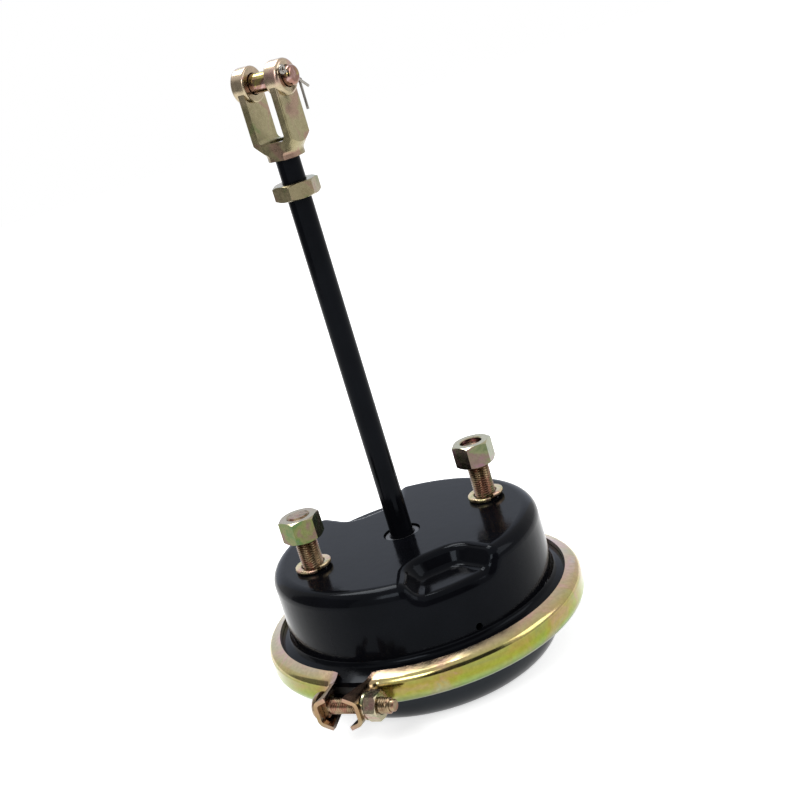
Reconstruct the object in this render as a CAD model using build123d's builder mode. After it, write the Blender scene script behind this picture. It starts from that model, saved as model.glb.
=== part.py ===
from build123d import *
from math import asin, atan2, cos, degrees, radians, sin, tan
import os

# Air brake chamber, single diaphragm, for cam brakes.
# Origin: centre of the mounting face, on the push rod's axis.
# +Z runs along the push rod towards the clevis, and the studs stand on the X axis.

# Pressed sheet casings
sheet = 2.8
wall_r = 86.5
shoulder_r = 9.0
face_to_clamp = 56.25
chamber_depth = 92.5
flange_width = 12.0
flange_blend = 3.5

# Reliefs pressed into the front and back of the mounting face
relief_depth = 10.5
relief_start = 57.5
relief_inner_half = 12.5
relief_outer_half = 25.5
relief_plan_r = 10.0
relief_lean = 36.0
relief_rim_r = 7.0
relief_floor_r = 6.5

# Holes in the non-pressure housing
rod_hole_r = 12.0
stud_clearance = 0.2
vent_r = 2.25
vent_drop = 40.0
vent_count = 4
vent_azimuth = -86.0

# Pressure cover, a dish under the clamp
cover_step = 2.0
cover_draft = 9.0
cover_corner_r = 19.0

# Clamp band
band_sheet = 2.6
band_clearance = 4.5
band_lip_depth = 8.7
band_height = 21.5
band_flank = 22.0
band_corner_r = 5.0
band_seat_gap = 0.25
ear_azimuth = 223.0
ear_bend_r = 4.0
ear_offset = 15.2
ear_length = 18.5
ear_mouth_near = 12.0
ear_mouth_far = 5.8

# Clamp bolt, washer and nut
clamp_bolt_r = 4.9
clamp_bolt_out = 11.0
clamp_head_r = 8.6
clamp_head_h = 4.4
clamp_neck_side = 9.6
clamp_neck_in = 3.0
clamp_washer_r = 8.5
clamp_washer_h = 1.4
clamp_nut_af = 16.0
clamp_nut_h = 8.0
clamp_bolt_end = 6.6
clamp_dog_r = 3.6
clamp_dog_h = 2.6

# Studs, their backing plates, lock washers and nuts
stud_spacing = 120.65
stud_r = 7.0
stud_reach = 36.5
stud_tip_chamfer = 1.2
stud_head_r = 11.0
stud_head_h = 3.6
backing_h = 4.0
backing_length = 24.0
backing_width = 36.0
backing_corner_r = 4.0
washer_outer_r = 11.5
washer_inner_r = 7.5
washer_h = 4.0
washer_split = 2.4
washer_split_lean = 25.0
stud_nut_af = 23.0
stud_nut_h = 14.8
nut_turn = 54.0
left_nut_height = 21.0
right_nut_height = 24.2

# Push rod and plate
rod_r = 7.35
rod_in_clevis = 9.5
rod_foot_r = 13.0
rod_foot_h = 7.0
plate_r = 62.0
plate_h = 3.5
plate_edge_r = 1.5

# Guide under the rod hole, return spring and diaphragm
guide_bore_gap = 0.3
guide_r = 36.0
guide_h = 3.0
guide_lip_r = 11.6
guide_lip_recess = 1.2
spring_wire_r = 2.4
spring_top_r = 30.5
spring_base_r = 51.0
spring_turns = 4.25
rubber = 3.0
soft_gap = 0.3

# Jam nut and clevis
jam_nut_af = 25.0
jam_nut_h = 9.5
jam_nut_below = 19.5
jam_nut_turn = -3.7
clevis_turn = -50.0
clevis_length = 45.5
clevis_neck_r = 11.3
clevis_neck_h = 3.6
clevis_neck_blend = 3.0
clevis_shoulder_h = 11.6
clevis_shoulder_r = 3.0
clevis_slot_depth = 34.7
clevis_gap = 18.5
clevis_leg = 5.0
clevis_width = 20.5
clevis_eye_r = 10.9
clevis_eye_out = 3.0
clevis_eye_in = 1.9
clevis_eye_round = 2.2
clevis_slot_r = 3.0
clevis_edge_r = 1.1
pin_height = 291.5

# Clevis pin and its cotter
pin_r = 6.0
pin_hole_r = 6.6
pin_head_r = 7.2
pin_head_h = 1.8
pin_end = 5.0
pin_end_r = 2.0
cotter_from_ear = 2.8
cotter_wire_r = 1.25
cotter_eye_r = 2.0
cotter_eye_wire_r = 0.95
cotter_knee_h = 1.0
cotter_leg_r = 0.78
cotter_dip = 33.0
cotter_short_leg = (1.55, 5.0, -5.4)
cotter_long_leg = (0.9, -1.3, -17.5)

# Air ports on the back of the pressure cover
port_r = 7.2
port_boss_r = 10.4
port_boss_out = 9.0
port_root_in = 7.5
port_rise = 11.1
port_azimuths = {"a": 62.0, "b": 118.0}
plug_h = 9.0
plug_socket_af = 8.0
plug_socket_depth = 6.0

# Clearances between pieces
thread_gap = 0.05
pin_gap = 0.08
bolt_gap = 0.3
face_gap = 0.1

# How close a point counts as lying in a face, and how far a cut runs past its piece
skin_tol = 0.05
cut_margin = 5.0

# Radii worked out from the sizes above
flange_r = wall_r + flange_width
cover_wall_r = wall_r - cover_step
band_r = flange_r + band_clearance
band_lip_r = band_r - band_lip_depth
clamp_bolt_circle = band_r + clamp_bolt_out
port_boss_face = cover_wall_r + port_boss_out
port_root = cover_wall_r - port_root_in

# Heights worked out from the sizes above
clamp_mid = -face_to_clamp
inner_top = -sheet
cover_floor = -chamber_depth + sheet
rubber_top = cover_floor + soft_gap + rubber
plate_bottom = rubber_top + face_gap
plate_top = plate_bottom + plate_h
guide_bottom = inner_top - face_gap - guide_h
backing_top = inner_top - face_gap
port_drop = chamber_depth - port_rise
clevis_bottom = pin_height - clevis_length
clevis_slot_floor = pin_height - clevis_slot_depth
jam_nut_mid = clevis_bottom - jam_nut_below
rod_top = clevis_bottom + rod_in_clevis
stud_x = stud_spacing / 2
lean = radians(band_flank)
fork_half = clevis_gap / 2 + clevis_leg
eye_face = fork_half + clevis_eye_out
eye_back = clevis_gap / 2 - clevis_eye_in


def band_inside(r):
    """Height over the clamp's middle of the band's inner flank at radius r."""
    return band_height / 2 - (r - band_lip_r) * tan(lean) - band_sheet / cos(lean)


def flange_outside(r):
    """Height over the clamp's middle of a casing flange's outer face at radius r."""
    return band_inside(r) - band_seat_gap / cos(lean)


def flange_inside(r, inset=sheet):
    """The same height for the face that lies inset under the flange's outer face."""
    return flange_outside(r) - inset / cos(lean)


def cover_drop(inset):
    """Height of the cover's wall from its floor to its flange, inset under its outer face."""
    return chamber_depth - inset + clamp_mid - flange_inside(cover_wall_r - inset, inset)


def cover_foot(inset):
    """Radius at which the cover's wall meets its floor, before their corner is rounded."""
    return cover_wall_r - inset - cover_drop(inset) * tan(radians(cover_draft))


# Cover's corner, no larger than its wall and the push plate on the diaphragm's floor leave room for
corner_turn = tan(radians(90 - cover_draft) / 2)
plate_room = cover_foot(sheet + soft_gap + rubber) - plate_r - soft_gap
wall_room = 0.9 * (cover_drop(0) / cos(radians(cover_draft)) - flange_blend)
cover_corner = min(cover_corner_r, sheet + soft_gap + rubber + plate_room / corner_turn,
                   wall_room / corner_turn)


def around(azimuth, radius, height):
    """A point at this azimuth in degrees, radius and height."""
    return Vector(radius * cos(radians(azimuth)), radius * sin(radians(azimuth)), height)


def spoke_plane(azimuth, height=0.0, radius=0.0):
    """A plane whose normal points outwards at this azimuth, with its own y axis up."""
    out = around(azimuth, 1, 0)
    return Plane(origin=around(azimuth, radius, height), x_dir=(-out.Y, out.X, 0), z_dir=out)


def cut_plane(azimuth):
    """The upright half plane at this azimuth: its x axis points out, its y axis is up."""
    out = around(azimuth, 1, 0)
    return Plane(origin=(0, 0, clamp_mid), x_dir=out, z_dir=out.cross(Vector(0, 0, 1)))


def relief_tool(inset):
    """The space that one relief takes out of the pressed form, grown by inset."""
    floor = -relief_depth - inset
    start = relief_start - inset
    beyond = wall_r + relief_depth
    spread = (relief_outer_half - relief_inner_half) / (wall_r - relief_start)
    near = relief_inner_half + inset
    far = near + spread * (beyond - start)
    with BuildPart() as tool:
        with BuildSketch(Plane.XY.offset(floor)):
            Polygon((-near, start), (near, start), (far, beyond), (-far, beyond), align=None)
            corners = vertices().group_by(Axis.Y)[0]
            fillet(corners, relief_plan_r + inset)
        extrude(amount=relief_depth * 2, taper=-relief_lean)
        fillet(edges().group_by(Axis.Z)[0].filter_by(lambda e: e.center().Y < beyond - 1),
               relief_floor_r + inset)
    return tool.part


def pressed_form(inset, reach):
    """The solid inside the housing's skin: inset 0 is its outer face, inset sheet its inner."""
    r = wall_r - inset
    joint = clamp_mid + flange_inside(r, inset)
    edge = clamp_mid + flange_inside(reach, inset)
    with BuildPart() as form:
        with BuildSketch(Plane.XZ):
            with BuildLine():
                Polyline((0, -inset), (r, -inset), (r, joint), (reach, edge),
                         (reach, clamp_mid), (0, clamp_mid), close=True)
            make_face()
            shoulder = vertices().sort_by_distance((r, -inset))[0]
            fillet(shoulder, shoulder_r - inset)
            root = vertices().sort_by_distance((r, joint))[0]
            fillet(root, flange_blend + inset)
        revolve(axis=Axis.Z)
        tool = relief_tool(inset)
        add(tool, mode=Mode.SUBTRACT)
        add(tool.rotate(Axis.Z, 180), mode=Mode.SUBTRACT)
        rim = edges().filter_by(lambda edge: is_relief_rim(edge, inset))
        fillet(rim, relief_rim_r - inset)
    return form.part


def is_relief_rim(edge, inset):
    """Tells whether an edge of the cut form lies in the cup's skin, where a relief breaks it."""
    turn_r = wall_r - shoulder_r
    for share in (0.3, 0.5, 0.7):
        point = edge.position_at(share)
        radius = (point.X**2 + point.Y**2) ** 0.5
        from_turn = ((radius - turn_r)**2 + (point.Z + shoulder_r)**2) ** 0.5
        on_top = radius < turn_r - skin_tol and abs(point.Z + inset) < skin_tol
        on_turn = abs(from_turn - shoulder_r + inset) < skin_tol and turn_r + skin_tol < radius
        on_wall = abs(radius - wall_r + inset) < skin_tol and point.Z < -shoulder_r - skin_tol
        if not (on_top or (on_turn and point.Z > -shoulder_r + skin_tol) or on_wall):
            return False
    return point.Z > -relief_depth - shoulder_r and abs(point.Y) > abs(point.X)


def cover_line(inset, reach):
    """Half of the cover's section, closed on the axis: inset 0 is outside, inset sheet inside."""
    joint = clamp_mid - flange_inside(cover_wall_r - inset, inset)
    edge = clamp_mid - flange_inside(reach, inset)
    floor = -chamber_depth + inset
    corner = max(cover_corner - inset, soft_gap)
    middle = (0, clamp_mid)
    FilletPolyline(middle, (reach, clamp_mid), (reach, edge), (cover_wall_r - inset, joint),
                   (cover_foot(inset), floor), (0, floor),
                   radius=[0, 0, flange_blend + inset, corner])
    Line((0, floor), middle)


os.makedirs("parts", exist_ok=True)


def save(piece, name):
    """Labels a finished piece and writes it to its own file."""
    piece.label = name
    export_step(piece, f"parts/{name}.step")


# Non-pressure housing, a deep pressed cup with two reliefs
outer_form = pressed_form(0, flange_r)
inner_form = pressed_form(sheet, flange_r + cut_margin)
with BuildPart() as non_pressure_housing:
    add(outer_form)
    add(inner_form, mode=Mode.SUBTRACT)
    with Locations((0, 0, inner_top)):
        Cylinder(rod_hole_r, sheet * 4, mode=Mode.SUBTRACT)
    with Locations((-stud_x, 0, inner_top), (stud_x, 0, inner_top)):
        Cylinder(stud_r + stud_clearance, sheet * 4, mode=Mode.SUBTRACT)
    for k in range(vent_count):
        with BuildSketch(spoke_plane(vent_azimuth + k * 360 / vent_count, -vent_drop)):
            Circle(vent_r)
        extrude(amount=wall_r + sheet, mode=Mode.SUBTRACT)
save(non_pressure_housing.part, "non_pressure_housing")

# Pressure cover, a shallow pressed dish with two port bosses on its back
with BuildPart() as pressure_cover:
    with BuildSketch(Plane.XZ):
        with BuildLine():
            cover_line(0, flange_r)
        make_face()
    revolve(axis=Axis.Z)
    for azimuth in port_azimuths.values():
        with BuildSketch(spoke_plane(azimuth, -port_drop, port_root)):
            Circle(port_boss_r)
        extrude(amount=port_boss_face - port_root)
    with BuildSketch(Plane.XZ):
        with BuildLine():
            cover_line(sheet, flange_r + cut_margin)
        make_face()
    revolve(axis=Axis.Z, mode=Mode.SUBTRACT)
    for azimuth in port_azimuths.values():
        with BuildSketch(spoke_plane(azimuth, -port_drop, port_root - sheet * 2)):
            Circle(port_r)
        extrude(amount=port_boss_face, mode=Mode.SUBTRACT)
save(pressure_cover.part, "pressure_cover")

# Plug in the second air port
with BuildPart() as port_plug:
    with BuildSketch(spoke_plane(port_azimuths["b"], -port_drop, port_boss_face)):
        Circle(port_r - thread_gap)
    extrude(amount=-plug_h)
    chamfer(edges().filter_by(GeomType.CIRCLE), thread_gap * 10)
    with BuildSketch(spoke_plane(port_azimuths["b"], -port_drop, port_boss_face)):
        RegularPolygon(plug_socket_af / 2, 6, major_radius=False)
    extrude(amount=-plug_socket_depth, mode=Mode.SUBTRACT)
save(port_plug.part, "port_plug")

# Diaphragm: its bead lies between the casing flanges and its dish lines the cover
bead_r = flange_r - sheet / 2
bead_root_r = cover_wall_r + flange_blend
liner = sheet + soft_gap
with BuildPart() as diaphragm:
    with BuildSketch(Plane.XZ):
        with BuildLine():
            cover_line(liner, bead_r)
        make_face()
    revolve(axis=Axis.Z)
    with BuildSketch(Plane.XZ):
        with BuildLine():
            cover_line(liner + rubber, bead_root_r)
        make_face()
    revolve(axis=Axis.Z, mode=Mode.SUBTRACT)
    with BuildSketch(Plane.XZ):
        with BuildLine():
            upper_root = clamp_mid + flange_inside(bead_root_r, liner)
            upper_edge = clamp_mid + flange_inside(bead_r, liner)
            Polyline((bead_root_r, clamp_mid), (bead_r, clamp_mid), (bead_r, upper_edge),
                     (bead_root_r, upper_root), close=True)
        make_face()
    revolve(axis=Axis.Z)
save(diaphragm.part, "diaphragm")

# Push plate, a flat disc with a socket for the rod's foot
with BuildPart() as push_plate:
    with BuildSketch(Plane.XY.offset(plate_bottom)):
        Circle(plate_r)
        Circle(rod_r - sheet, mode=Mode.SUBTRACT)
    extrude(amount=plate_h)
    rims = edges().filter_by(GeomType.CIRCLE).filter_by(lambda e: e.radius > plate_r - 1)
    fillet(rims, plate_edge_r)
save(push_plate.part, "push_plate")

# Push rod with its flared foot, turned down at the thread's tip
with BuildPart() as push_rod:
    with BuildSketch(Plane.XZ):
        with BuildLine():
            FilletPolyline((0, plate_top), (rod_foot_r, plate_top), (rod_foot_r, plate_top + sheet),
                           (rod_r, plate_top + rod_foot_h), (rod_r, rod_top), (0, rod_top),
                           radius=[0, 1, 2, 0])
            Line((0, rod_top), (0, plate_top))
        make_face()
    revolve(axis=Axis.Z)
    tip = edges().filter_by(GeomType.CIRCLE).sort_by(Axis.Z)[-1]
    chamfer(tip, 1)
save(push_rod.part, "push_rod")

# Guide that centres the rod in the housing's hole and seats the spring
with BuildPart() as rod_guide:
    with BuildSketch(Plane.XY.offset(guide_bottom)):
        Circle(guide_r)
    extrude(amount=guide_h)
    with BuildSketch(Plane.XY.offset(guide_bottom)):
        Circle(guide_lip_r)
    extrude(amount=-guide_bottom - guide_lip_recess)
    with BuildSketch(Plane.XY.offset(guide_bottom)):
        Circle(rod_r + guide_bore_gap)
    extrude(amount=-guide_bottom, mode=Mode.SUBTRACT)
    lip = edges().filter_by(GeomType.CIRCLE).group_by(Axis.Z)[-1]
    chamfer(lip, 0.8)
save(rod_guide.part, "rod_guide")

# Conical return spring between the guide and the push plate, with closed end coils
spring_low = plate_top + face_gap + spring_wire_r
spring_high = guide_bottom - face_gap - spring_wire_r
spring_rise = spring_high - spring_low
spring_cone = degrees(atan2(spring_base_r - spring_top_r, spring_rise))
with BuildPart() as return_spring:
    with BuildLine() as coil:
        Helix(pitch=spring_rise / spring_turns, height=spring_rise, radius=spring_base_r,
              center=(0, 0, spring_low), cone_angle=-spring_cone)
    with BuildSketch(Plane(origin=coil.line @ 0, z_dir=coil.line % 0)):
        Circle(spring_wire_r)
    sweep(is_frenet=True)
save(return_spring.part, "return_spring")

# Studs with their flat heads inside the housing, and the plates that back them
sides = {"left": (-stud_x, left_nut_height), "right": (stud_x, right_nut_height)}
stud_root = backing_top - backing_h - face_gap
for side, (x, _) in sides.items():
    with BuildPart() as backing_plate:
        with BuildSketch(Plane.XY.offset(backing_top)):
            with Locations((x, 0)):
                RectangleRounded(backing_length, backing_width, backing_corner_r)
                Circle(stud_r + stud_clearance, mode=Mode.SUBTRACT)
        extrude(amount=-backing_h)
    save(backing_plate.part, f"stud_backing_{side}")

    with BuildPart() as mounting_stud:
        with BuildSketch(Plane.XY.offset(stud_root)):
            with Locations((x, 0)):
                Circle(stud_head_r)
        extrude(amount=-stud_head_h)
        with BuildSketch(Plane.XY.offset(stud_root)):
            with Locations((x, 0)):
                Circle(stud_r)
        extrude(amount=stud_reach - stud_root)
        tip = edges().filter_by(GeomType.CIRCLE).sort_by(Axis.Z)[-1]
        chamfer(tip, stud_tip_chamfer)
    save(mounting_stud.part, f"mounting_stud_{side}")

    with BuildPart() as lock_washer:
        with BuildSketch(Plane.XY.offset(face_gap)):
            with Locations((x, 0)):
                Circle(washer_outer_r)
                Circle(washer_inner_r, mode=Mode.SUBTRACT)
        extrude(amount=washer_h)
        slot = Plane(origin=(x, 0, face_gap + washer_h / 2), x_dir=(1, 0, 0), z_dir=(0, -1, 0))
        with BuildSketch(slot):
            Rectangle(washer_split, washer_h * 3, rotation=washer_split_lean)
        extrude(amount=washer_outer_r * 2, mode=Mode.SUBTRACT)
    save(lock_washer.part, f"lock_washer_{side}")


def hex_nut(plane, flats, height, bore_r):
    """A hexagon nut that stands on a plane, its corners turned off at both ends."""
    corner_r = flats / 2 / cos(radians(30))
    slope = (corner_r - flats / 2) * tan(radians(30))
    with BuildPart() as nut:
        with BuildSketch(plane):
            RegularPolygon(corner_r, 6)
        extrude(amount=height)
        with BuildSketch(Plane(origin=plane.origin, x_dir=plane.x_dir, z_dir=plane.y_dir)):
            Polygon((0, 0), (0, -height), (flats / 2, -height), (corner_r, slope - height),
                    (corner_r, -slope), (flats / 2, 0), align=None)
        axis = Axis(plane.origin, plane.z_dir)
        revolve(axis=axis, mode=Mode.INTERSECT)
        with BuildSketch(plane):
            Circle(bore_r)
        extrude(amount=height, mode=Mode.SUBTRACT)
        mouth = edges().filter_by(GeomType.CIRCLE).filter_by(lambda e: e.radius < bore_r + 0.01)
        chamfer(mouth, bore_r / 12)
    return nut.part


def turned(azimuth, x, height):
    """A level plane at this height whose own x axis points at the azimuth."""
    return Plane(origin=(x, 0, height), x_dir=around(azimuth, 1, 0), z_dir=(0, 0, 1))


# Nuts standing part of the way up each stud
for side, (x, height) in sides.items():
    nut = hex_nut(turned(nut_turn, x, height), stud_nut_af, stud_nut_h, stud_r + thread_gap)
    save(nut, f"stud_nut_{side}")

# Jam nut on the push rod's thread
jam_nut = hex_nut(turned(jam_nut_turn, 0, jam_nut_mid - jam_nut_h / 2), jam_nut_af, jam_nut_h,
                  rod_r + thread_gap)
save(jam_nut, "jam_nut")

# Clevis: a fork cut from square bar, its neck turned round, with a thick barrel at each eye
across = around(clevis_turn, 1, 0)
along = Vector(0, 0, 1).cross(across)
fork_front = Plane(origin=(0, 0, 0), x_dir=across, z_dir=-along)
eye_side = Plane(origin=(0, 0, pin_height), x_dir=along, z_dir=across)
corner_r = (fork_half**2 + clevis_width**2 / 4) ** 0.5
with BuildPart() as clevis:
    with BuildSketch(fork_front):
        with Locations((0, (clevis_bottom + pin_height) / 2)):
            Rectangle(fork_half * 2, clevis_length)
    extrude(amount=clevis_width / 2, both=True)
    fillet(edges().filter_by(Axis.Z), clevis_edge_r)
    with BuildSketch(Plane.XZ):
        with BuildLine():
            neck_top = clevis_bottom + clevis_neck_h
            shoulder = clevis_bottom + clevis_shoulder_h
            FilletPolyline((0, clevis_bottom), (clevis_neck_r, clevis_bottom),
                           (clevis_neck_r, neck_top), (corner_r, shoulder), (corner_r, pin_height),
                           (0, pin_height), radius=[0, clevis_neck_blend, clevis_shoulder_r, 0])
            Line((0, pin_height), (0, clevis_bottom))
        make_face()
    revolve(axis=Axis.Z, mode=Mode.INTERSECT)
    with BuildSketch(fork_front):
        with BuildLine():
            Polyline((-clevis_gap / 2, clevis_slot_floor), (clevis_gap / 2, clevis_slot_floor),
                     (clevis_gap / 2, pin_height * 2), (-clevis_gap / 2, pin_height * 2), close=True)
        make_face()
        floor_corners = vertices().group_by(Axis.Y)[0]
        fillet(floor_corners, clevis_slot_r)
    extrude(amount=clevis_width, both=True, mode=Mode.SUBTRACT)
    for hand in (1, -1):
        with BuildPart(mode=Mode.PRIVATE) as barrel:
            with BuildSketch(eye_side.offset(hand * eye_back)):
                Circle(clevis_eye_r)
            extrude(amount=hand * (eye_face - eye_back))
            outward = Axis(eye_side.origin, across * hand)
            fillet(edges().filter_by(GeomType.CIRCLE).sort_by(outward)[-1], clevis_eye_round)
            fillet(edges().filter_by(GeomType.CIRCLE).sort_by(outward)[0], clevis_edge_r)
        add(barrel.part)
    with BuildSketch(eye_side.offset(-eye_face)):
        Circle(pin_hole_r)
    extrude(amount=eye_face * 2, mode=Mode.SUBTRACT)
    with BuildSketch(Plane.XY.offset(clevis_bottom)):
        Circle(rod_r + thread_gap)
    extrude(amount=clevis_slot_floor - clevis_bottom, mode=Mode.SUBTRACT)
save(clevis.part, "clevis")

# Clevis pin, its head behind and its drilled end in front
pin_length = eye_face + pin_end
hole_centre = across * (eye_face + cotter_from_ear) + Vector(0, 0, pin_height)
shank = around(clevis_turn + 90, cos(radians(cotter_dip)), -sin(radians(cotter_dip)))
with BuildPart() as clevis_pin:
    with BuildSketch(eye_side.offset(-eye_face - face_gap)):
        Circle(pin_head_r)
    extrude(amount=-pin_head_h)
    with BuildSketch(eye_side.offset(-eye_face - face_gap)):
        Circle(pin_r)
    extrude(amount=eye_face + face_gap + pin_length)
    ends = edges().filter_by(GeomType.CIRCLE).sort_by(Axis(eye_side.origin, across))
    fillet(ends[-1], pin_end_r)
    chamfer(ends[0], 0.8)
    with BuildSketch(Plane(origin=hole_centre, z_dir=shank)):
        Circle(cotter_wire_r + pin_gap)
    extrude(amount=pin_r * 2, both=True, mode=Mode.SUBTRACT)
save(clevis_pin.part, "clevis_pin")

# Cotter pin: an eye behind the clevis pin, a shank through it, and two spread legs
knee = hole_centre + shank * (pin_r + cotter_wire_r)
eye_centre = hole_centre - shank * (pin_r + cotter_eye_r + cotter_eye_wire_r)
shank_start = eye_centre + shank * cotter_eye_r
shank_length = (knee - shank_start).length + cotter_knee_h
with BuildPart() as cotter_pin:
    with BuildSketch(Plane(origin=shank_start, z_dir=shank)):
        Circle(cotter_wire_r)
    extrude(amount=shank_length)
    far_side = eye_centre - shank * cotter_eye_r
    with BuildSketch(Plane(origin=far_side, x_dir=shank, z_dir=across.cross(shank))):
        Circle(cotter_eye_wire_r)
    revolve(axis=Axis(eye_centre, across))
    for out, aside, up in (cotter_short_leg, cotter_long_leg):
        run = across * out + along * aside + Vector(0, 0, up)
        with BuildSketch(Plane(origin=knee, z_dir=run.normalized())):
            Circle(cotter_leg_r)
        extrude(amount=run.length)
save(cotter_pin.part, "cotter_pin")

# Clamp band: a channel rolled round both flanges, its ends turned out into ears
gap_out = around(ear_azimuth, 1, 0)
gap_side = around(ear_azimuth + 90, 1, 0)
bend_circle = band_r + ear_bend_r
ear_half_angle = degrees(asin((ear_offset + ear_bend_r) / bend_circle))
ear_root = bend_circle * cos(radians(ear_half_angle))
ear_end = ear_root + ear_length


def band_line():
    """Outline of the band's channel section, for a plane whose x axis points outwards."""
    half = band_height / 2
    web = half - (band_r - band_lip_r) * tan(lean)
    outer = FilletPolyline((band_lip_r, half), (band_r, web), (band_r, -web), (band_lip_r, -half),
                           radius=band_corner_r)
    offset(outer, amount=band_sheet, side=Side.RIGHT)


def ear_plane(hand):
    """The section's plane where an ear leaves its bend: hand is 1 on the nut's side, else -1."""
    shift = gap_side * hand * (ear_offset - band_r)
    origin = gap_out * ear_root + shift + Vector(0, 0, clamp_mid)
    return Plane(origin=origin, x_dir=gap_side * hand, z_dir=gap_out * hand)


def bolt_plane(reach):
    """A plane square to the clamp bolt, this far from the gap's middle towards the nut."""
    origin = gap_out * clamp_bolt_circle + gap_side * reach + Vector(0, 0, clamp_mid)
    return Plane(origin=origin, x_dir=gap_out, z_dir=gap_side)


with BuildPart() as clamp_band:
    with BuildSketch(cut_plane(ear_azimuth + ear_half_angle)):
        with BuildLine():
            band_line()
        make_face()
    revolve(axis=Axis.Z, revolution_arc=360 - 2 * ear_half_angle)
    for hand in (1, -1):
        azimuth = ear_azimuth + hand * ear_half_angle
        with BuildSketch(cut_plane(azimuth)):
            with BuildLine():
                band_line()
            make_face()
        bend_axis = Axis(around(azimuth, bend_circle, clamp_mid), (0, 0, hand))
        revolve(axis=bend_axis, revolution_arc=90 - ear_half_angle)
        with BuildSketch(ear_plane(hand)):
            with BuildLine():
                band_line()
            make_face()
        extrude(amount=hand * ear_length)
    with BuildSketch(Plane(origin=(0, 0, clamp_mid), x_dir=gap_out, z_dir=(0, 0, 1))):
        Polygon((band_lip_r, -ear_mouth_near), (ear_end, -ear_mouth_far),
                (ear_end, ear_mouth_far), (band_lip_r, ear_mouth_near), align=None)
    extrude(amount=band_height, both=True, mode=Mode.SUBTRACT)
    with BuildSketch(bolt_plane(0)):
        Circle(clamp_bolt_r + bolt_gap)
    extrude(amount=ear_offset * 1.5, mode=Mode.SUBTRACT)
    with BuildSketch(bolt_plane(0)):
        Rectangle(clamp_neck_side + bolt_gap * 2, clamp_neck_side + bolt_gap * 2)
    extrude(amount=-ear_offset * 1.5, mode=Mode.SUBTRACT)
save(clamp_band.part, "clamp_band")

# Clamp bolt: a domed head outside the left ear, a square neck in it, and a dog point
neck_start = -ear_offset - face_gap
nut_seat = ear_offset + face_gap * 2 + clamp_washer_h
with BuildPart() as clamp_bolt:
    with BuildSketch(bolt_plane(neck_start)):
        Circle(clamp_head_r)
    extrude(amount=-clamp_head_h)
    dome = edges().filter_by(GeomType.CIRCLE).sort_by(Axis(bolt_plane(0).origin, gap_side))[0]
    fillet(dome, clamp_head_h * 0.8)
    with BuildSketch(bolt_plane(neck_start)):
        Rectangle(clamp_neck_side, clamp_neck_side)
    extrude(amount=band_sheet + face_gap + clamp_neck_in)
    with BuildSketch(bolt_plane(neck_start)):
        Circle(clamp_bolt_r)
    extrude(amount=nut_seat + clamp_nut_h + clamp_bolt_end - neck_start)
    thread_end = edges().filter_by(GeomType.CIRCLE).sort_by(Axis(bolt_plane(0).origin, gap_side))[-1]
    chamfer(thread_end, 0.8)
    with BuildSketch(bolt_plane(nut_seat + clamp_nut_h + clamp_bolt_end)):
        Circle(clamp_dog_r)
    extrude(amount=clamp_dog_h)
save(clamp_bolt.part, "clamp_bolt")

with BuildPart() as clamp_washer:
    with BuildSketch(bolt_plane(ear_offset + face_gap)):
        Circle(clamp_washer_r)
        Circle(clamp_bolt_r + bolt_gap, mode=Mode.SUBTRACT)
    extrude(amount=clamp_washer_h)
save(clamp_washer.part, "clamp_washer")

clamp_nut = hex_nut(bolt_plane(nut_seat), clamp_nut_af, clamp_nut_h, clamp_bolt_r + thread_gap)
save(clamp_nut, "clamp_nut")
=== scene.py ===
from math import cos, pi, radians, sin

import bpy
from mathutils import Matrix, Vector


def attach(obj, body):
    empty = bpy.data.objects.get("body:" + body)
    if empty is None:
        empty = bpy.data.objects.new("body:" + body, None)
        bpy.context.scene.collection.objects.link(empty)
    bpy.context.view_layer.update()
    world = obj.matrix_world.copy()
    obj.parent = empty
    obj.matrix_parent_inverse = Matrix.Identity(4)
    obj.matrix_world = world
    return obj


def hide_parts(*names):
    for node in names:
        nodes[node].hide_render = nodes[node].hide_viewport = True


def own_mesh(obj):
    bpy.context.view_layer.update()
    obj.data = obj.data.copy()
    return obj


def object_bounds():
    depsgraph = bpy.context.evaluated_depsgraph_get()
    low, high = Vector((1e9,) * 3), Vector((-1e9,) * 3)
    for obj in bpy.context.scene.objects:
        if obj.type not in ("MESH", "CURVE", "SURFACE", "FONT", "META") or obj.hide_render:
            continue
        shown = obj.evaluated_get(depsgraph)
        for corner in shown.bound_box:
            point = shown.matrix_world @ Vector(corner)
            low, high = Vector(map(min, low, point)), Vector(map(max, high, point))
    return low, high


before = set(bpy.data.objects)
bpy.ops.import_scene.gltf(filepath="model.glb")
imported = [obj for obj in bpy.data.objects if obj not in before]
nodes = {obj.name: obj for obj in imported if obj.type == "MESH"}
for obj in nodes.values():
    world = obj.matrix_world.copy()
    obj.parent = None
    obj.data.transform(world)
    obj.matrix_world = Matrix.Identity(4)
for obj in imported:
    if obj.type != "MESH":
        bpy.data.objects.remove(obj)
cad_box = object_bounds()
clamp_mid = -0.05625  # height of the clamp bolt, at the middle of the band

# A Mix node's sockets for colours, among those of its other data types
MIX_FACTOR, MIX_A, MIX_B, MIX_RESULT = 0, 6, 7, 2


# Node helpers
def connect(tree, socket, value):
    """Link a socket to another socket, or set its value."""
    if isinstance(value, bpy.types.NodeSocket):
        tree.links.new(value, socket)
    else:
        socket.default_value = value


def feed(tree, node, **values):
    """Set a node's properties and inputs, named with _ for a space, to values or sockets."""
    for key, value in values.items():
        if hasattr(node, key):
            setattr(node, key, value)
        else:
            connect(tree, node.inputs[key.replace("_", " ")], value)
    return node


def add_node(tree, kind, **values):
    """A new node, fed with these values."""
    return feed(tree, tree.nodes.new(kind), **values)


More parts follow.
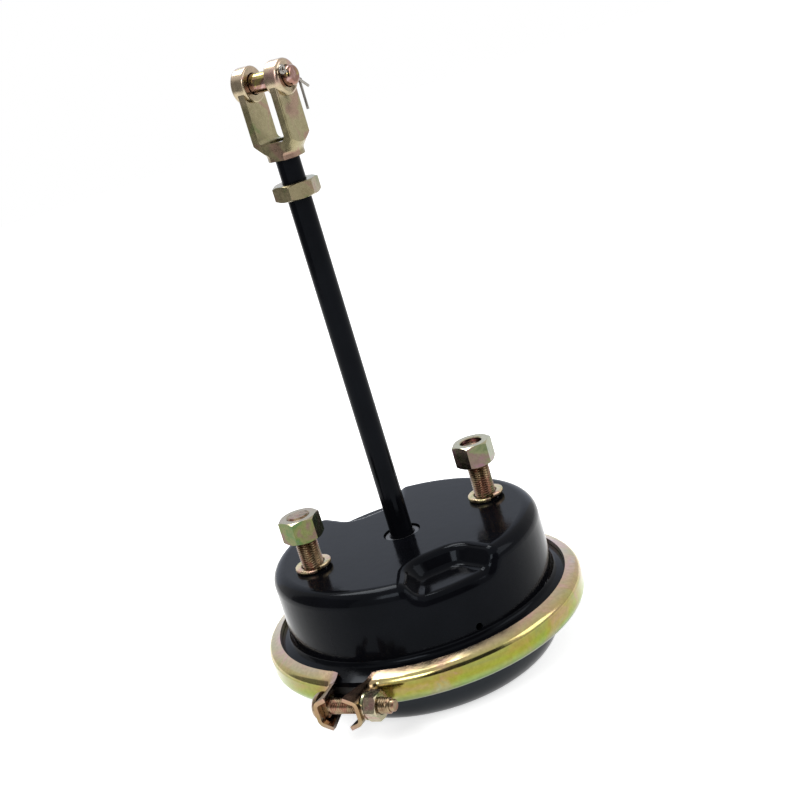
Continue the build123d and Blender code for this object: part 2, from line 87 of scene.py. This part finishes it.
def new_material(name, **values):
    """A material, its node tree and its Principled shader, fed with these values."""
    material = bpy.data.materials.new(name)
    material.use_nodes = True
    tree = material.node_tree
    return material, tree, feed(tree, tree.nodes["Principled BSDF"], **values)


def own_place(tree):
    """The place on the surface in the object's own metres."""
    return add_node(tree, "ShaderNodeTexCoord").outputs["Object"]


def height_of(tree, vector):
    """The Z part of a vector."""
    return add_node(tree, "ShaderNodeSeparateXYZ", Vector=vector).outputs["Z"]


def noise(tree, scale, detail, rough=0.5, distort=0.0):
    """A noise texture in the object's own metres."""
    return add_node(tree, "ShaderNodeTexNoise", Vector=own_place(tree), Scale=scale, Detail=detail,
                    Roughness=rough, Distortion=distort).outputs["Fac"]


def ramp(tree, factor, stops):
    """A colour ramp over a factor: stops are (place, colour)."""
    node = add_node(tree, "ShaderNodeValToRGB", Fac=factor)
    node.color_ramp.interpolation = "EASE"
    points = node.color_ramp.elements
    while len(points) < len(stops):
        points.new(0.5)
    for point, (where, colour) in zip(points, stops):
        point.position = where
        point.color = (*colour, 1)
    return node.outputs["Color"]


def spread(tree, factor, low, high, start=0.3, end=0.7):
    """A factor that goes from start to end, mapped to a range of values."""
    return add_node(tree, "ShaderNodeMapRange", Value=factor, From_Min=start, From_Max=end,
                    To_Min=low, To_Max=high).outputs["Result"]


def blend_colour(tree, factor, a, b, mode="MIX"):
    """Two colours mixed: the factor is a socket or a number, a and b sockets or colours."""
    node = add_node(tree, "ShaderNodeMix", data_type="RGBA", blend_type=mode)
    for place, value in ((MIX_FACTOR, factor), (MIX_A, a), (MIX_B, b)):
        if isinstance(value, tuple):
            value = (*value, 1)
        connect(tree, node.inputs[place], value)
    return node.outputs[MIX_RESULT]


def calculate(tree, operation, *values):
    """The result of a Math node on sockets and numbers."""
    node = add_node(tree, "ShaderNodeMath", operation=operation)
    for socket, value in zip(node.inputs, values):
        connect(tree, socket, value)
    return node.outputs[0]


def surface(tree, shader, colour, rough, rough_grain, bump_grain, depth):
    """Give a shader its colour, an uneven roughness and a fine bump, whose depth is in metres.

    rough is the least and the greatest roughness, and each grain a noise's scale and detail.
    """
    bump = add_node(tree, "ShaderNodeBump", Strength=1.0, Distance=depth,
                    Height=noise(tree, *bump_grain))
    feed(tree, shader, Base_Color=colour, Normal=bump.outputs["Normal"],
         Roughness=spread(tree, noise(tree, *rough_grain), *rough))


# Finishes
def black_paint(name, specular):
    """Stove-enamelled black: near mirror gloss with faint orange peel and dust."""
    material, tree, shader = new_material(name, Specular_IOR_Level=specular,
                                          Specular_Tint=(0.78, 0.88, 1.0, 1))
    tint = ramp(tree, noise(tree, scale=35, detail=4),
                [(0.3, (0.0018, 0.0019, 0.0026)), (0.7, (0.003, 0.0032, 0.0044))])
    surface(tree, shader, tint, rough=(0.09, 0.18), rough_grain=(60, 5), bump_grain=(180, 2),
            depth=0.00005)
    return material


def zinc(name, stops, scale, rough=(0.22, 0.36), height_tint_and_painted_highlight=None, pink_at=None, top=None):
    """Yellow passivated zinc: a metal whose thin film wanders through several colours.

    levels is (low, high, share, stops) of a colour that changes with height, whose pale stops are
    in part a painted highlight, pink_at a point round which the film turns pink, and top a lighter
    colour on faces that look up: a painted highlight.
    """
    material, tree, shader = new_material(name, Metallic=1.0)
    film = ramp(tree, noise(tree, scale, detail=3, rough=0.55, distort=0.8), stops)
    # Colour by height: in part the film's own colour, in part a painted highlight in its pale stops
    if height_tint_and_painted_highlight:
        low, high, share, level_stops = height_tint_and_painted_highlight
        level = spread(tree, height_of(tree, own_place(tree)), 0, 1, start=low, end=high)
        film = blend_colour(tree, share, film, ramp(tree, level, level_stops))
    if pink_at:
        pink, pink_share, inner, outer = (0.27, 0.14, 0.115), 0.72, 0.016, 0.03
        apart = add_node(tree, "ShaderNodeVectorMath", operation="DISTANCE")
        connect(tree, apart.inputs[0], own_place(tree))
        connect(tree, apart.inputs[1], pink_at)
        near = spread(tree, apart.outputs["Value"], pink_share, 0, start=inner, end=outer)
        film = blend_colour(tree, near, film, pink)
    # Faces that look up take a lighter colour: a painted highlight
    if top:
        normal = add_node(tree, "ShaderNodeNewGeometry").outputs["Normal"]
        painted_top_highlight = spread(tree, height_of(tree, normal), low=0, high=0.75, start=0.25, end=0.6)
        film = blend_colour(tree, painted_top_highlight, film, top)
    fine = ramp(tree, noise(tree, scale * 9, detail=3, rough=0.6),
                [(0.3, (0.86, 0.86, 0.84)), (0.7, (1, 1, 1))])
    film = blend_colour(tree, 1.0, film, fine, "MULTIPLY")
    surface(tree, shader, film, rough, rough_grain=(scale * 4, 4), bump_grain=(700, 2),
            depth=0.000008)
    return material


def plain(name, colour, metallic, rough, grain, depth):
    """A plain finish with mottling and fine grain."""
    material, tree, shader = new_material(name, Metallic=metallic)
    dark_share, smoother, rougher = 0.72, 0.06, 0.08
    dark = tuple(c * dark_share for c in colour)
    tint = ramp(tree, noise(tree, grain, detail=4), [(0.3, dark), (0.7, colour)])
    surface(tree, shader, tint, rough=(rough - smoother, rough + rougher),
            rough_grain=(grain * 3, 4), bump_grain=(grain * 12, 3), depth=depth)
    return material


paint = black_paint("black_paint", specular=0.05)
# cover_paint_lit_copy is a lit copy of the same black paint: its stronger specular lightens the
# cover's reflection
cover_paint_lit_copy = black_paint("cover_paint_lit_copy", specular=0.32)
clamp_spot = (-0.0834, -0.0777, clamp_mid)
# Band colour by height: paler and bluer at the bottom edge, yellow-green in the web, and pale pink
# on the flank at the top, a painted highlight
band_tint_and_painted_highlight = (-0.067, -0.0455, 0.6, [(0.0, (0.30, 0.37, 0.38)), (0.2, (0.20, 0.29, 0.14)),
                                      (0.44, (0.19, 0.21, 0.02)), (0.60, (0.22, 0.17, 0.04)),
                                      (0.70, (0.21, 0.18, 0.05)), (0.82, (0.50, 0.40, 0.19)),
                                      (1.0, (0.62, 0.42, 0.36))])
band_zinc = zinc("band_zinc", [(0.30, (0.13, 0.23, 0.09)), (0.44, (0.21, 0.26, 0.05)),
                               (0.54, (0.26, 0.22, 0.05)), (0.62, (0.34, 0.20, 0.14)),
                               (0.72, (0.25, 0.27, 0.30))],
                 scale=40, rough=(0.13, 0.22), height_tint_and_painted_highlight=band_tint_and_painted_highlight, pink_at=clamp_spot)
# The nuts' top colours are lighter than their sides: a painted highlight on faces that look up
left_nut_zinc = zinc("left_nut_zinc", [(0.32, (0.12, 0.14, 0.13)), (0.43, (0.08, 0.13, 0.045)),
                                       (0.55, (0.13, 0.14, 0.055)), (0.68, (0.15, 0.10, 0.08))],
                     scale=75, rough=(0.16, 0.26), top=(0.40, 0.33, 0.24))
right_nut_zinc = zinc("right_nut_zinc", [(0.30, (0.10, 0.12, 0.06)), (0.42, (0.14, 0.15, 0.08)),
                                         (0.54, (0.15, 0.11, 0.09)), (0.66, (0.19, 0.10, 0.13))],
                      scale=75, rough=(0.16, 0.26), top=(0.46, 0.42, 0.28))
small_zinc = zinc("small_zinc", [(0.30, (0.26, 0.30, 0.16)), (0.46, (0.40, 0.35, 0.24)),
                                 (0.66, (0.42, 0.25, 0.22))], scale=110, rough=(0.2, 0.3))
washer_zinc = zinc("washer_zinc", [(0.34, (0.44, 0.40, 0.20)), (0.50, (0.58, 0.46, 0.28)),
                                   (0.64, (0.50, 0.32, 0.24))], scale=140, rough=(0.24, 0.38))
stud_zinc = zinc("stud_zinc", [(0.3, (0.13, 0.12, 0.06)), (0.45, (0.25, 0.13, 0.09)),
                               (0.56, (0.28, 0.21, 0.13)), (0.68, (0.16, 0.10, 0.06))], scale=80)
# Clevis colour by height: pale pink at the top, a painted highlight on the eyes
clevis_painted_highlight_levels = (0.246, 0.3025, 0.45, [(0.0, (0.22, 0.18, 0.11)), (0.12, (0.25, 0.22, 0.12)),
                                       (0.58, (0.30, 0.26, 0.15)), (0.68, (0.48, 0.38, 0.28)),
                                       (1.0, (0.60, 0.44, 0.37))])
clevis_zinc = zinc("clevis_zinc", [(0.32, (0.16, 0.22, 0.08)), (0.43, (0.27, 0.23, 0.13)),
                                   (0.54, (0.33, 0.29, 0.17)), (0.66, (0.33, 0.18, 0.16))],
                   scale=62, rough=(0.22, 0.34), height_tint_and_painted_highlight=clevis_painted_highlight_levels)
pin_zinc = zinc("pin_zinc", [(0.34, (0.40, 0.33, 0.12)), (0.5, (0.26, 0.14, 0.11)),
                             (0.64, (0.40, 0.26, 0.24))], scale=110, rough=(0.12, 0.2))
steel = plain("bright_steel", (0.32, 0.30, 0.27), metallic=1.0, rough=0.32, grain=90,
              depth=0.00002)
spring_steel = plain("spring_steel", (0.16, 0.17, 0.18), metallic=1.0, rough=0.4, grain=60,
                     depth=0.00003)
rubber = plain("black_rubber", (0.022, 0.022, 0.022), metallic=0.0, rough=0.62, grain=80,
               depth=0.00008)
plastic = plain("guide_plastic", (0.02, 0.02, 0.022), metallic=0.0, rough=0.4, grain=70,
                depth=0.00003)

# The CAD nodes of each material; a piece shown in a node's place takes the node's material
looks = {
    paint: ["non_pressure_housing", "push_rod", "push_plate"],
    cover_paint_lit_copy: ["pressure_cover"],
    band_zinc: ["clamp_band"],
    left_nut_zinc: ["stud_nut_left"],
    right_nut_zinc: ["stud_nut_right"],
    small_zinc: ["clamp_nut", "clamp_washer", "port_plug"],
    washer_zinc: ["lock_washer_left", "lock_washer_right"],
    stud_zinc: ["mounting_stud_left", "mounting_stud_right", "clamp_bolt", "stud_backing_left",
                "stud_backing_right"],
    clevis_zinc: ["jam_nut", "clevis"],
    pin_zinc: ["clevis_pin"],
    steel: ["cotter_pin"],
    spring_steel: ["return_spring"],
    rubber: ["diaphragm"],
    plastic: ["rod_guide"],
}


def coat(mesh, material):
    """Give a mesh this material alone."""
    mesh.materials.clear()
    mesh.materials.append(material)


for material, names in looks.items():
    for name in names:
        coat(nodes[name].data, material)


# Pieces shown in place of CAD nodes: threaded studs and clamp bolt, split washers and spring
def ring_faces(rings, around):
    """Faces of a tube through rings of points, closed at both ends."""
    faces = []
    for first in range(0, (rings - 1) * around, around):
        for k in range(around):
            a, b = first + k, first + (k + 1) % around
            faces.append((a, b, b + around, a + around))
    last = (rings - 1) * around
    return faces + [tuple(range(around))[::-1], tuple(range(last, last + around))]


def smooth_mesh(name, points, faces, sharp):
    """A mesh shaded smooth, apart from edges sharper than this angle in degrees."""
    mesh = bpy.data.meshes.new(name)
    mesh.from_pydata(points, [], faces)
    mesh.shade_smooth()
    mesh.set_sharp_from_angle(angle=radians(sharp))
    return mesh


def stand_in(name, mesh, node):
    """A piece on the chamber with this mesh, shown with a CAD node's material in its place."""
    coat(mesh, nodes[node].data.materials[0])
    piece = bpy.data.objects.new(name, mesh)
    bpy.context.scene.collection.objects.link(piece)
    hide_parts(node)
    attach(piece, "chamber")
    return piece


def turned_mesh(name, rows, pitch, place, around, block=None):
    """A turned piece with a helical thread. Each row is (height, radius, thread depth).

    around is the number of points in a row, and block is (side, low, high) of a square neck.
    """
    points = []
    for z, r, depth in rows:
        for k in range(around):
            angle = 2 * pi * k / around
            turn = (z / pitch - k / around) % 1
            rr = r - depth * abs(2 * turn - 1)
            points.append((rr * cos(angle), rr * sin(angle), z))
    faces = ring_faces(len(rows), around)
    if block:
        side, low, high = block
        half, first = side / 2, len(points)
        for z in (low, high):
            points += [(-half, -half, z), (half, -half, z), (half, half, z), (-half, half, z)]
        sides = ((0, 1, 5, 4), (1, 2, 6, 5), (2, 3, 7, 6), (3, 0, 4, 7))
        faces += [tuple(first + k for k in ring) for ring in ((3, 2, 1, 0), (4, 5, 6, 7), *sides)]
    return smooth_mesh(name, [place @ Vector(p) for p in points], faces, sharp=30)


def thread_rows(low, high, r, depth, pitch):
    """Rows of a thread that starts and ends at its full radius."""
    rows_per_turn = 8
    count = int((high - low) / pitch * rows_per_turn)
    rows = []
    for k in range(count + 1):
        z = low + (high - low) * k / count
        fade = max(0, min(1, (z - low) / pitch, (high - z) / pitch))
        rows.append((z, r, depth * fade))
    return rows


# Studs: the head under the backing plate, the shank, the thread and the chamfered tip
stud_x, stud_r, stud_pitch, stud_thread_depth = 0.060325, 0.007, 0.0015, 0.0009
stud_head_low, stud_head_high, stud_head_r, stud_head_edge = -0.0106, -0.007, 0.011, 0.0003
stud_head_bottom_r, stud_head_top_r = 0.0102, 0.0106
stud_thread_low, stud_thread_high, stud_tip, stud_tip_r = -0.002, 0.0353, 0.0365, 0.0058
stud_rows = [(stud_head_low, stud_head_bottom_r, 0),
             (stud_head_low + stud_head_edge, stud_head_r, 0),
             (stud_head_high - stud_head_edge, stud_head_r, 0),
             (stud_head_high, stud_head_top_r, 0), (stud_head_high, stud_r, 0)]
stud_rows += thread_rows(stud_thread_low, stud_thread_high, stud_r, stud_thread_depth, stud_pitch)
stud_rows += [(stud_tip, stud_tip_r, 0)]
for side, x in (("left", -stud_x), ("right", stud_x)):
    name = f"threaded_stud_{side}"
    mesh = turned_mesh(name, stud_rows, stud_pitch, Matrix.Translation((x, 0, 0)), around=60)
    stand_in(name, mesh, f"mounting_stud_{side}")


def split_washer(name, x, inner, outer, low, thick, rise):
    """A spring washer: nearly one turn of a rounded strip whose first end is lifted by rise."""
    edge = thick * 0.3  # radius of the section's corners
    split_end, sweep, steps = 276, 348, 96  # angles in degrees, and sections along the strip
    section = []
    for cx, cz, corner in ((outer - edge, edge, 0), (inner + edge, edge, 90),
                           (inner + edge, thick - edge, 180), (outer - edge, thick - edge, 270)):
        for step in (0, 30, 60, 90):
            a = -radians(corner + step)
            section.append((cx + edge * cos(a), cz + edge * sin(a)))
    points = []
    for k in range(steps + 1):
        a = radians(split_end + sweep * k / steps)
        lift = low + rise * (1 - k / steps)
        points += [(x + r * cos(a), r * sin(a), z + lift) for r, z in section]
    return smooth_mesh(name, points, ring_faces(steps + 1, len(section)), sharp=40)


for side, x in (("left", -stud_x), ("right", stud_x)):
    name = f"split_washer_{side}"
    mesh = split_washer(name, x, inner=0.0075, outer=0.0115, low=0.0001, thick=0.0027, rise=0.0015)
    stand_in(name, mesh, f"lock_washer_{side}")

# Return spring: a piece with its own copy of the CAD mesh; on the real chamber its coils close up
# under the guide as the rod comes out
mesh = nodes["return_spring"].data.copy()
coil = stand_in("coiled_spring", mesh, "return_spring")
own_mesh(coil)

# Clamp bolt: a domed head, a square neck, the thread and a dog point, drawn along Z and laid
# across the band's gap
bolt_azimuth, bolt_circle = radians(223.0), 0.114
gap_out = Vector((cos(bolt_azimuth), sin(bolt_azimuth), 0))
gap_side = Vector((-sin(bolt_azimuth), cos(bolt_azimuth), 0))
bolt_place = Matrix.Translation(gap_out * bolt_circle + Vector((0, 0, clamp_mid))) @ Matrix(
    (gap_out, gap_side.cross(gap_out), gap_side)).transposed().to_4x4()
bolt_r, bolt_pitch, bolt_thread_depth = 0.0049, 0.0015, 0.0007
bolt_thread_low, bolt_thread_high = -0.0085, 0.0306
head_base, dome_height, dome_top_r, dome_spread = -0.0153, 0.0044, 0.0051, 0.0035
neck_side, neck_end = 0.0096, -0.0096
dog_start, dog_shoulder_r, dog_r = 0.0314, 0.0041, 0.0036
dog_edge, dog_end, dog_end_r = 0.0335, 0.034, 0.0031
bolt_rows = [(head_base - dome_height * cos(radians(t)), dome_top_r + dome_spread * sin(radians(t)),
              0) for t in range(0, 91, 10)]
bolt_rows += [(head_base, bolt_r, 0)]
bolt_rows += thread_rows(bolt_thread_low, bolt_thread_high, bolt_r, bolt_thread_depth, bolt_pitch)
bolt_rows += [(dog_start, dog_shoulder_r, 0), (dog_start, dog_r, 0), (dog_edge, dog_r, 0),
              (dog_end, dog_end_r, 0)]
mesh = turned_mesh("threaded_clamp_bolt", bolt_rows, bolt_pitch, bolt_place, around=40,
                   block=(neck_side, head_base, neck_end))
stand_in("threaded_clamp_bolt", mesh, "clamp_bolt")


# Floor, light and camera
def flat_sheet(name, size, centre, toward):
    """A square sheet facing a direction, for the floor and the studio's cards."""
    half = size / 2
    mesh = bpy.data.meshes.new(name)
    mesh.from_pydata([(-half, -half, 0), (half, -half, 0), (half, half, 0), (-half, half, 0)], [],
                     [(0, 1, 2, 3)])
    sheet = bpy.data.objects.new(name, mesh)
    sheet.location = centre
    sheet.rotation_euler = Vector(toward).to_track_quat("Z", "Y").to_euler()
    bpy.context.scene.collection.objects.link(sheet)
    return sheet


def seen_directly(tree):
    """1 for camera, glossy and transmission rays, 0 for the rest."""
    path = add_node(tree, "ShaderNodeLightPath")
    seen = calculate(tree, "MAXIMUM", path.outputs["Is Camera Ray"], path.outputs["Is Glossy Ray"])
    return calculate(tree, "MAXIMUM", seen, path.outputs["Is Transmission Ray"])


# The world lights the object softly and is white where it is seen
world_light, white = 0.55, 1.0
world = bpy.data.worlds.new("studio")
bpy.context.scene.world = world
world.use_nodes = True
tree = world.node_tree
feed(tree, tree.nodes["Background"], Color=(1, 1, 1, 1),
     Strength=spread(tree, seen_directly(tree), world_light, white, start=0, end=1))

# The floor glows where it is seen, so that it is white there, apart from the object's shadow
floor_gap, floor_colour, floor_glow, camera_glow = 0.0005, 0.86, 0.55, 0.13
floor = flat_sheet("floor", size=6.0, centre=(0, 0, cad_box[0].z - floor_gap), toward=(0, 0, 1))
material, tree, shader = new_material(
    "floor_white", Base_Color=(floor_colour, floor_colour, floor_colour, 1), Roughness=0.9,
    Specular_IOR_Level=0.0, Emission_Color=(1, 1, 1, 1))
glow = calculate(tree, "MULTIPLY", seen_directly(tree), floor_glow)
to_camera = add_node(tree, "ShaderNodeLightPath").outputs["Is Camera Ray"]
feed(tree, shader, Emission_Strength=calculate(tree, "MULTIPLY_ADD", to_camera, camera_glow, glow))
coat(floor.data, material)


def card(name, size, centre, toward, colour):
    """A matt card of an even brightness that shows only in reflections."""
    sheet = flat_sheet(name, size, centre, toward)
    material, _, _ = new_material(name, Base_Color=(0, 0, 0, 1), Specular_IOR_Level=0.0,
                                  Emission_Color=(*colour, 1), Emission_Strength=1.0)
    coat(sheet.data, material)
    for ray in ("camera", "diffuse", "transmission", "shadow", "volume_scatter"):
        setattr(sheet, f"visible_{ray}", False)


card("card_left", 1.4, centre=(-1.15, 0.25, 0.55), toward=(1, -0.2, 0), colour=(0.28, 0.28, 0.28))
card("card_front", 2.6, centre=(0.0, -2.1, 1.35), toward=(0, 1, 0), colour=(0.05, 0.05, 0.05))
card("card_back", 3.2, centre=(0.5, 2.4, 1.0), toward=(-0.2, -1, 0), colour=(1.04, 1.12, 1.28))


def soft_light(name, place, size, power):
    """A square soft light aimed at the object."""
    target = Vector((0, 0, 0.05))
    light = bpy.data.lights.new(name, "AREA")
    light.size = size
    light.energy = power
    lamp = bpy.data.objects.new(name, light)
    lamp.location = place
    lamp.rotation_euler = (target - Vector(place)).to_track_quat("-Z", "Y").to_euler()
    bpy.context.scene.collection.objects.link(lamp)


soft_light("key", (-0.9, -1.1, 1.3), size=0.7, power=14)
soft_light("fill", (1.3, -0.7, 0.9), size=0.9, power=8)
soft_light("top", (-0.13, 0.58, 1.4), size=0.66, power=19)

# Camera, fitted by least squares to points measured in the photograph: angles in degrees,
# lengths in metres, and the focal length in pixels of an 800-pixel image
camera_azimuth, camera_distance, camera_height = 255.5, 0.950, 0.36791
camera_yaw, camera_pitch, camera_roll = 1.37, -16.68, -16.64
focal_pixels, image_pixels, sensor_width = 1608.2, 800, 36
a, y, t, r = (radians(v) for v in (camera_azimuth, camera_yaw, camera_pitch, camera_roll))
inward = Vector((-cos(a), -sin(a), 0))
up = Vector((0, 0, 1))
level_look = inward * cos(y) + inward.cross(up) * sin(y)
right = level_look.cross(up)
look = level_look * cos(t) + up * sin(t)
lift = right.cross(look)
rolled_right = right * cos(r) + lift * sin(r)
rolled_up = lift * cos(r) - right * sin(r)
camera = bpy.data.objects.new("camera", bpy.data.cameras.new("camera"))
camera.data.lens = focal_pixels * sensor_width / image_pixels
camera.matrix_world = Matrix.Translation((cos(a) * camera_distance, sin(a) * camera_distance,
                                          camera_height)) @ Matrix(
    (rolled_right, rolled_up, -look)).transposed().to_4x4()
bpy.context.scene.collection.objects.link(camera)
bpy.context.scene.camera = camera
bpy.context.scene.view_settings.view_transform = "Standard"
